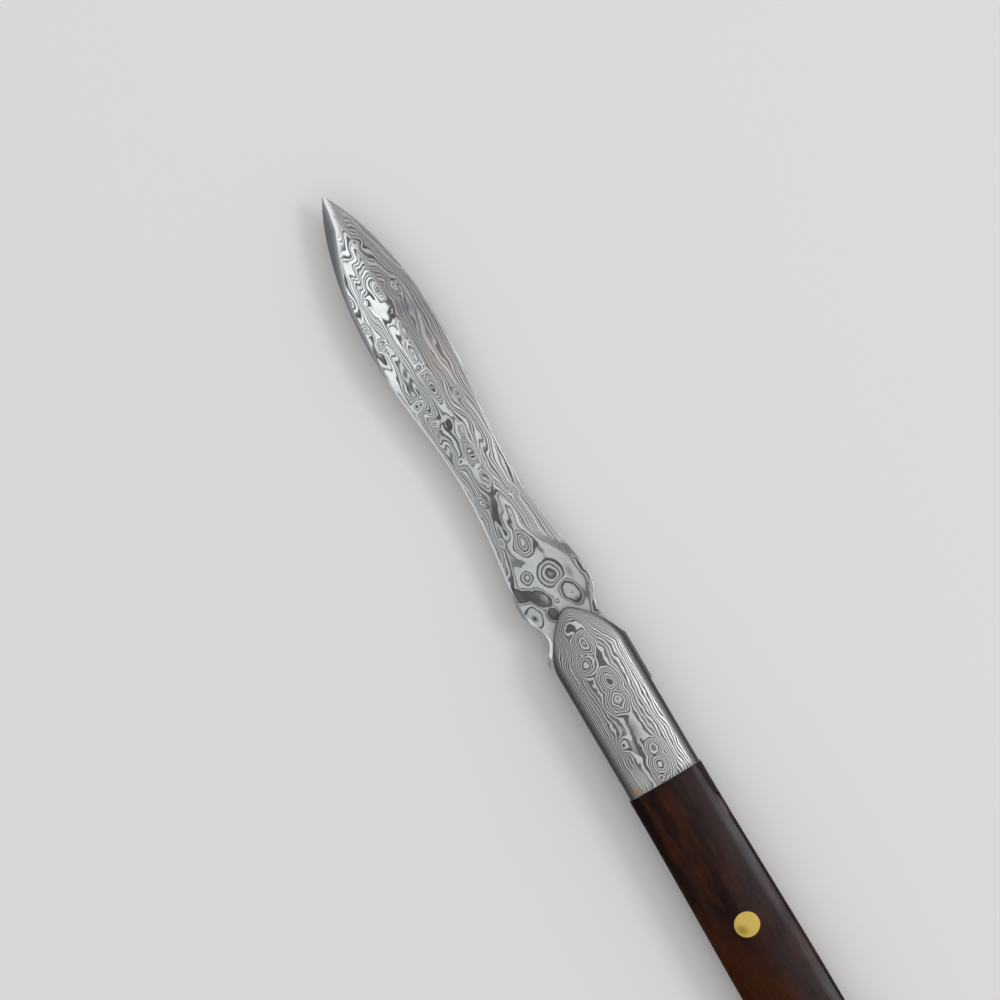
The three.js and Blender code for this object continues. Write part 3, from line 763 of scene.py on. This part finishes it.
# %% Outline of the tang
PIVOT, PIVOT_BORE = (0.0, -0.6), 1.7
STEP_X, PROUD_Y = -4.15, -6.25
TANG_RADIUS = math.hypot(STEP_X - PIVOT[0], PROUD_Y - PIVOT[1])
neck_row = [y for _, y, _ in blade_sections[-1][: len(blade_sections[-1]) // 2]]
tang = curve((NECK_X, NECK), (7.9, 4.5), (7.4, 4.85), (6.9, 5.2), points=8)[1:]
tang += curve((6.9, 5.2), (6.1, 5.8), (5.9, 6.4), (4.4, 6.44), points=12)[1:]
tang += curve((4.4, 6.44), (5.2, 6.25), (5.6, 5.6), (6.6, 4.85), points=10)[1:]
tang += [(5.2, 5.3), (-4.86, 5.3)]
arc_start, arc_end = math.atan2(5.05, -4.86), math.atan2(-2.05, -6.704) + 2 * math.pi
for turn in np.linspace(arc_start, arc_end, 24):
    tang.append((PIVOT[0] + TANG_RADIUS * math.cos(turn), PIVOT[1] + TANG_RADIUS * math.sin(turn)))
tang += [(STEP_X, -2.65), (STEP_X, PROUD_Y), (3.706, PROUD_Y), (6.6, -4.9)]
tang += [(NECK_X, y) for y in neck_row[::-1]]
print("corners of the tang:", len(tang))

# %% [markdown]
# Tang, liners and spacer are all cut from sheet. A sheet could be a box that is cut down by booleans,
# which leave poor faces. It is cleaner to fill the outline, with a hole where a pin goes through, and to
# extrude it.

# %% Fill an outline and give it its thickness
def filled_outline(bm, outline, z, hole=None, hole_radius=0.0):
    verts = [bm.verts.new(Vector((x, y, z)) * MM) for x, y in outline]
    edges = [bm.edges.new(pair) for pair in zip(verts, verts[1:] + verts[:1])]
    if hole:
        middle = Matrix.Translation(Vector((*hole, z)) * MM)
        ring = bmesh.ops.create_circle(bm, segments=48, radius=hole_radius * MM, matrix=middle)
        edges += list({edge for vert in ring["verts"] for edge in vert.link_edges})
    filled = bmesh.ops.triangle_fill(bm, use_beauty=True, edges=edges, normal=(0, 0, 1))
    return [item for item in filled["geom"] if isinstance(item, bmesh.types.BMFace)]


def thicken(bm, faces, height):
    lifted = bmesh.ops.extrude_face_region(bm, geom=faces, use_keep_orig=True)
    verts = [item for item in lifted["geom"] if isinstance(item, bmesh.types.BMVert)]
    bmesh.ops.translate(bm, verts=verts, vec=(0, 0, height * MM))


print("flat plates can be filled and thickened")

# %% [markdown]
# On the real knife leaf and tang are one plate, so they must be one closed mesh. Two meshes that only
# touch would show a seam. The wall between them is deleted, the two rows of points are merged, and edges
# along the blade stay crisp at a smaller angle than those across it, as grinding leaves them.

# %% Weld leaf and tang into the blade
bm = skin(blade_sections)
thicken(bm, filled_outline(bm, tang, BLADE_MID - HALF_THICK, PIVOT, PIVOT_BORE), 2 * HALF_THICK)
wall = [f for f in bm.faces if all(abs(v.co.x / MM - NECK_X) < 1e-3 for v in f.verts)]
bmesh.ops.delete(bm, geom=wall, context="FACES_ONLY")
bmesh.ops.remove_doubles(bm, verts=bm.verts, dist=2e-6)
add_piece("ground_blade", bm, blade_steel, "blade", sharp=28, lengthwise=6)

# %% [markdown]
# A bolster or a scale is a cover: an outline seen from above, with an upper side that is crowned a little
# and rolls over at the outline. A bevelled plate would come close, but the crown would be missing. Crown
# and roll follow from how far a point is from the outline, so one rule shapes the sides, the front and
# the round butt.

# %% Sections of a cover
OFFSETS = [0, 0.015, 0.05, 0.10, 0.17, 0.25, 0.34, 0.45, 0.58, 0.74, 0.92, 1.1, 1.3, 1.55, 1.8, 2.2, 2.7,
           3.3, 3.9, 5.0]
SHARES = [1 - offset / 6.2 for offset in OFFSETS]
SHARES = SHARES + [0.0] + [-share for share in SHARES[::-1]]
COVER, CROWN, CROWN_REACH = 2.9, 0.026, 6.1
SIDE_Z = 0.9


def distance_inside(outline, x, y):
    a, b = np.array(outline[:-1]), np.array(outline[1:])
    along = b - a
    point = np.array([x, abs(y)])
    share = np.clip(((point - a) * along).sum(1) / np.maximum((along * along).sum(1), 1e-12), 0, 1)
    return float(np.sqrt((((a + share[:, None] * along) - point) ** 2).sum(1)).min())


def cover_sections(outline, height_at):
    sections = []
    for x, half in outline:
        half = max(half, 0.02)
        upper = [(x, share * half, height_at(x, share * half, distance_inside(outline, x, share * half)))
                 for share in SHARES]
        sections.append(upper + [(x, -half, 0.0), (x, half, 0.0)])
    return sections


def crowned(distance):
    return COVER - CROWN * max(0.0, CROWN_REACH - distance) ** 2


def roll(distance, width):
    return 1 - math.sqrt(max(0.0, 1 - (1 - min(distance / width, 1)) ** 2))


def place_cover(sections, node):
    low, high = (corner.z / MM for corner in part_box(node))
    base, way = (low, 1) if node.startswith("front") else (high, -1)
    return [[(x, y, base + way * z) for x, y, z in section] for section in sections]


print("points across a cover:", len(SHARES))

# %% [markdown]
# The bolsters are twins: a plate of patterned steel over the pivot on each side of the knife. Seen from
# above the front is a dome, and the edges are rolled over, more along the sides than at the apex. A bevel
# has one width all round, so the roll is worked out section by section. A shallow groove marks the joint
# with the wood.

# %% Bolsters
APEX_X, SIDES_X, JOINT_X, BOLSTER_HALF = 11.6, 3.2, -18.7, 6.0
APEX_ROLL, SIDE_ROLL = 0.15, 1.15
SEAM_WIDTH, SEAM_DEPTH = 0.08, 0.05
bolster_outline = curve((APEX_X, 0), (APEX_X, 1.6), (6.2, BOLSTER_HALF), (SIDES_X, BOLSTER_HALF),
                        points=48)
bolster_outline += [(x, BOLSTER_HALF) for x in np.linspace(SIDES_X, JOINT_X + SEAM_WIDTH, 24)[1:]]
bolster_outline += [(JOINT_X, BOLSTER_HALF)]


def bolster_height(x, y, distance):
    top = crowned(distance)
    width = APEX_ROLL + SIDE_ROLL * smooth_step(9.0, 2.0, x)
    seam = SEAM_DEPTH * smooth_step(JOINT_X + SEAM_WIDTH, JOINT_X, x)
    return top - (top - SIDE_Z) * min(1.0, 0.35 + 0.65 * width) * roll(distance, width) - seam


for node in ("front_bolster", "back_bolster"):
    bm = skin(place_cover(cover_sections(bolster_outline, bolster_height), node))
    add_piece("domed_" + node, bm, bolster_steel, node)

# %% [markdown]
# The scales swell towards the middle and end in a round butt. The edge on the spine side is well rounded
# and the other one is crisper. Only the front scale has the scallop behind the bolster, where the thumb
# reaches the lock. A boolean could cut it, but it is enough to hold back the points that would stand
# outside its leaning wall, and closer sections there keep its end crisp.

# %% Scales
SCALE_FRONT, SCALE_BELLY, BUTT_X, BELLY_X = 6.22, 6.70, -87.6, -58.5
SCALE_SINK, CRISP_ROLL, EXTRA_ROLL = 0.02, 0.65, 1.15
SCALLOP_DEPTHS = ([-25.1, -23.6, JOINT_X], [0, 1.15, 1.4])
SCALLOP_LEAN = math.tan(math.radians(27.5))
scale_outline = curve((JOINT_X, SCALE_FRONT), (-31.7, SCALE_FRONT), (-46.0, SCALE_BELLY),
                      (BELLY_X, SCALE_BELLY), points=60)
scale_outline += curve((BELLY_X, SCALE_BELLY), (-75.5, SCALE_BELLY), (BUTT_X, 5.6), (BUTT_X, 0),
                       points=60)[1:]
behind_joint, half_widths = [-x for x, _ in scale_outline], [half for _, half in scale_outline]
closer = np.arange(-18.8, -26.0, -0.15)
scale_outline += [(x, float(np.interp(-x, behind_joint, half_widths))) for x in closer]
scale_outline = sorted(scale_outline, key=lambda p: (-p[0], -p[1]))


def scale_height(x, y, distance):
    top = crowned(distance) - SCALE_SINK
    seam = SEAM_DEPTH * smooth_step(JOINT_X - 0.10, JOINT_X, x)
    width = CRISP_ROLL + EXTRA_ROLL * smooth_step(-2.5, 2.5, y)
    return top - (top - SIDE_Z) * roll(distance, width) - seam


def cut_scallop(section):
    x = section[0][0]
    depth = float(np.interp(x, *SCALLOP_DEPTHS))
    if not depth:
        return section
    floor_y = depth - SCALE_FRONT
    return [(x, max(y, floor_y - (FACE - z) * SCALLOP_LEAN), z) for x, y, z in section]


for node in ("front_scale", "back_scale"):
    sections = place_cover(cover_sections(scale_outline, scale_height), node)
    if node == "front_scale":
        sections = [cut_scallop(section) for section in sections]
    add_piece("polished_" + node, skin(sections), rosewood, node)

# %% [markdown]
# Rivets, pins and washers are turned on a lathe. A cylinder would do for most of them, but a half profile
# that is spun once round is how a lathe works, and it takes a chamfer or a bore with no further step. A
# small chamfer at each end catches the light as a real turned edge does.

# %% Turned pieces
def turned(name, node, material, chamfer=0.06, bore=0.0):
    low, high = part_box(node)
    middle = (low + high) / 2
    radius = (high.x - low.x) / 2
    c, inner = chamfer * MM, bore * MM
    profile = [(inner, low.z), (radius - c, low.z), (radius, low.z + c),
               (radius, high.z - c), (radius - c, high.z), (inner, high.z)]
    bm = bmesh.new()
    verts = [bm.verts.new((middle.x + r, middle.y, z)) for r, z in profile]
    edges = [bm.edges.new(pair) for pair in zip(verts, verts[1:])]
    if bore:
        edges.append(bm.edges.new((verts[-1], verts[0])))
    bmesh.ops.spin(bm, geom=verts + edges, cent=middle, axis=(0, 0, 1), angle=2 * math.pi, steps=64,
                   use_merge=True)
    bmesh.ops.remove_doubles(bm, verts=bm.verts, dist=1e-7)
    add_piece(name, bm, material, node)


for side in ("front", "back"):
    for end in ("fore", "aft"):
        turned(f"brass_{side}_{end}", f"{side}_rivet_{end}", brass, chamfer=0.05)
for end in ("fore", "aft"):
    turned(f"steel_spacer_rivet_{end}", f"spacer_rivet_{end}", steel)
turned("steel_pivot", "pivot_pin", steel)
turned("steel_stop", "stop_pin", steel)
for node in ("front_washer", "back_washer"):
    turned("bronze_" + node, node, bronze, chamfer=0.04, bore=PIVOT_BORE)

# %% [markdown]
# Two steel liners carry the covers, and a spacer closes the spine between them. They are sawn from sheet
# and filed, so a plate is an outline that is filled, thickened and bevelled a little along its edges. A
# bevel modifier could round every edge, but only the rims of a filed plate are broken.

# %% Plates cut from sheet
PLATE_BEVEL, LINER_INSET, BUTT_GAP = 0.06, 0.12, 0.3


def cut_plate(name, node, outline, bottom, thickness):
    bm = bmesh.new()
    thicken(bm, filled_outline(bm, outline, bottom), thickness)
    bmesh.ops.remove_doubles(bm, verts=bm.verts, dist=1e-7)
    bmesh.ops.recalc_face_normals(bm, faces=bm.faces)
    level = [e for e in bm.edges if abs(e.verts[0].co.z - e.verts[1].co.z) < 1e-9]
    rims = [e for e in level if len(e.link_faces) == 2 and e.calc_face_angle() > 1.0]
    bmesh.ops.bevel(bm, geom=rims, offset=PLATE_BEVEL * MM, offset_type="OFFSET", segments=2, profile=0.5,
                    affect="EDGES", material=-1)
    return add_piece(name, bm, steel, node, sharp=50, lengthwise=50)


def inset_half(points):
    return [(x, half - LINER_INSET) for x, half in points]


handle_half = [(APEX_X - LINER_INSET, 0.0)]
handle_half += inset_half([p for p in bolster_outline if p[1] > 0.3 and p[0] > JOINT_X])
handle_half += inset_half([p for p in scale_outline if p[0] > BUTT_X + BUTT_GAP])
handle_half += [(BUTT_X + LINER_INSET, 0.0)]
print("points along a liner:", len(handle_half))

# %% [markdown]
# Both liners follow the handle, a hair inside its outline. The back one has a long slot on the edge side,
# where the lock leaf is sawn free with a narrow kerf. The slot could be cut out of a finished liner, but
# it is part of the outline, so the outline simply runs round it.

# %% Liners
LINER = 1.0
LEAF_ROOT, LEAF_TIP, LEAF_TOP, KERF = -40.0, -4.45, -2.95, 0.35
edge_side = [(x, -half) for x, half in handle_half[::-1]][1:-1]
rear = [p for p in edge_side if p[0] < LEAF_ROOT - KERF]
fore = [p for p in edge_side if p[0] > LEAF_TIP + KERF]
slot_rear = [(LEAF_ROOT - KERF, rear[-1][1]), (LEAF_ROOT - KERF, LEAF_TOP + KERF)]
slot_fore = [(LEAF_TIP + KERF, LEAF_TOP + KERF), (LEAF_TIP + KERF, fore[0][1])]
slotted = handle_half + rear + slot_rear + slot_fore + fore
for node, outline in (("front_liner", handle_half + edge_side), ("back_liner", slotted)):
    cut_plate("satin_" + node, node, outline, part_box(node)[0].z / MM, LINER)

# %% [markdown]
# The lock leaf is a springy tongue of the back liner. On an open knife it stands in behind the tang and
# keeps the blade from closing. It could be bent along its length, but it is so slim that a straight
# tongue looks the same, so it is made flat and then turned about its root by the angle that it springs.

# %% Lock leaf
LEAF_BOTTOM, LEAF_THICK, SPRING_ANGLE = 3.2, 0.7, 1.8
leaf_edge = [p for p in edge_side if LEAF_ROOT < p[0] < LEAF_TIP]
tongue = [(LEAF_ROOT, leaf_edge[0][1])] + leaf_edge
tongue += [(LEAF_TIP, leaf_edge[-1][1]), (LEAF_TIP, LEAF_TOP), (LEAF_ROOT, LEAF_TOP)]
lock = cut_plate("spring_lock_leaf", "lock_leaf", tongue, LEAF_BOTTOM, LEAF_THICK)
root = Matrix.Translation(Vector((LEAF_ROOT, 0, LEAF_BOTTOM + LEAF_THICK / 2)) * MM)
lock.data.transform(root @ Matrix.Rotation(math.radians(-SPRING_ANGLE), 4, "Y") @ root.inverted())
print("sprung in by", SPRING_ANGLE, "degrees")

# %% [markdown]
# The spacer is a strip along the spine and round the butt that holds the liners apart. Its inner side
# leaves room for the folded blade, so it follows the blade's own outline, turned end for end and moved
# out a little. A plain strip would be simpler, but it would foul the blade or leave too wide a slot.

# %% Spacer
BLADE_ROOM, TIP_ROOM, CHANNEL = 0.35, 0.5, 2.8
fold_shift = 2 * PIVOT[1] + BLADE_ROOM
folded_tip = -TIP_X - TIP_ROOM
folded_edge = [(-x, half + fold_shift) for x, half in leaf if x > -JOINT_X]
spine = [p for p in inset_half(scale_outline) if BUTT_X + BUTT_GAP < p[0] < JOINT_X]
butt = [(BUTT_X + LINER_INSET, 0.0)] + [(x, -half) for x, half in spine[::-1] if x < folded_tip]
strip = spine + butt + [(folded_tip, butt[-1][1]), (folded_tip, fold_shift)] + folded_edge
cut_plate("satin_back_spacer", "back_spacer", strip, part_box("back_spacer")[0].z / MM, CHANNEL)

# %% [markdown]
# The knife lies on a plain pale floor. A backdrop that curves up would do as well, but seen from above a
# large flat sheet is all that shows. It is matt, so it takes the shadow of the knife and no reflections.

# %% Floor
FLOOR_COLOUR = (0.86, 0.85, 0.835, 1)
matt = bpy.data.materials.new("pale_floor")
matt.use_nodes = True
feed(matt.node_tree, matt.node_tree.nodes["Principled BSDF"],
     {"Base Color": FLOOR_COLOUR, "Roughness": 0.9, "Specular IOR Level": 0.1})
bm = bmesh.new()
bmesh.ops.create_grid(bm, x_segments=1, y_segments=1, size=3.0)
floor = mesh_object("floor", bm, matt)
print("floor", [round(side, 1) for side in floor.dimensions[:2]], "m")

# %% [markdown]
# Steel shows what it reflects, so the light is mostly a soft sky: white overhead, greyer at the horizon,
# and stronger on the edge side of the knife. Several large lamps could do this, but a sky has no borders
# that would show in the steel. Flat faces that look up then show their own colour, and steep ones turn
# darker.

# %% Sky
HORIZON, ZENITH = (0.44, 0.445, 0.455), (1.08, 1.08, 1.08)
EDGE_SIDE_LIGHT, SPINE_SIDE_LIGHT = 1.35, 0.65
world = bpy.data.worlds.new("soft_sky")
bpy.context.scene.world = world
world.use_nodes = True
tree = world.node_tree
_, towards_spine, towards_top = split(tree, add_node(tree, "TexCoord", {}, output="Generated"))
sky = mix_colour(tree, remap(tree, towards_top, 0.5, 1.0, 0, 1, "SMOOTHSTEP"), HORIZON, ZENITH)
light = remap(tree, towards_spine, -1, 1, EDGE_SIDE_LIGHT, SPINE_SIDE_LIGHT)
feed(tree, tree.nodes["Background"], {"Color": sky, "Strength": light})
print("sky from", HORIZON, "at the horizon to white overhead")

# %% [markdown]
# One small soft lamp stands on the edge side, so that the rolled edges of wood and steel get a highlight.
# The sky alone would leave them flat. The size of an area lamp sets how soft the highlight is.

# %% Lamp on the edge side
LAMP_PLACE, LAMP_SIZE, LAMP_WATTS = (-0.08, -0.56, 0.83), 0.26, 1.3
lamp_data = bpy.data.lights.new("edge_side_lamp", "AREA")
lamp_data.shape = "RECTANGLE"
lamp_data.size = lamp_data.size_y = LAMP_SIZE
lamp_data.energy = LAMP_WATTS
lamp = put_in_scene("edge_side_lamp", lamp_data)
lamp.location = LAMP_PLACE
lamp.rotation_euler = (-Vector(LAMP_PLACE)).to_track_quat("-Z", "Y").to_euler()
print(lamp.name, LAMP_WATTS, "W")

# %% [markdown]
# The camera looks straight down and is turned so that the knife points up and to the left. A near camera
# would swell the middle of the picture, so it stands far away with a long lens, and the outline is hardly
# foreshortened. The Standard view shows colours about as they are written.

# %% Camera
DISTANCE, VIEW_WIDTH, SENSOR = 1.5, 0.151, 36
AIM = Vector((0.03056, 0.00004, 0.0085))
camera_data = bpy.data.cameras.new("camera")
camera = put_in_scene("camera", camera_data)
bpy.context.scene.camera = camera
right, up, back = Vector((-0.506, -0.862, 0)), Vector((0.862, -0.506, 0)), Vector((0, 0, 1))
turned_to = Matrix((right, up, back)).transposed().to_4x4()
camera.matrix_world = Matrix.Translation(AIM + back * DISTANCE) @ turned_to
camera_data.sensor_width = SENSOR
camera_data.lens = SENSOR * DISTANCE / VIEW_WIDTH
bpy.context.scene.view_settings.view_transform = "Standard"
print("lens", round(camera_data.lens, 1), "mm")
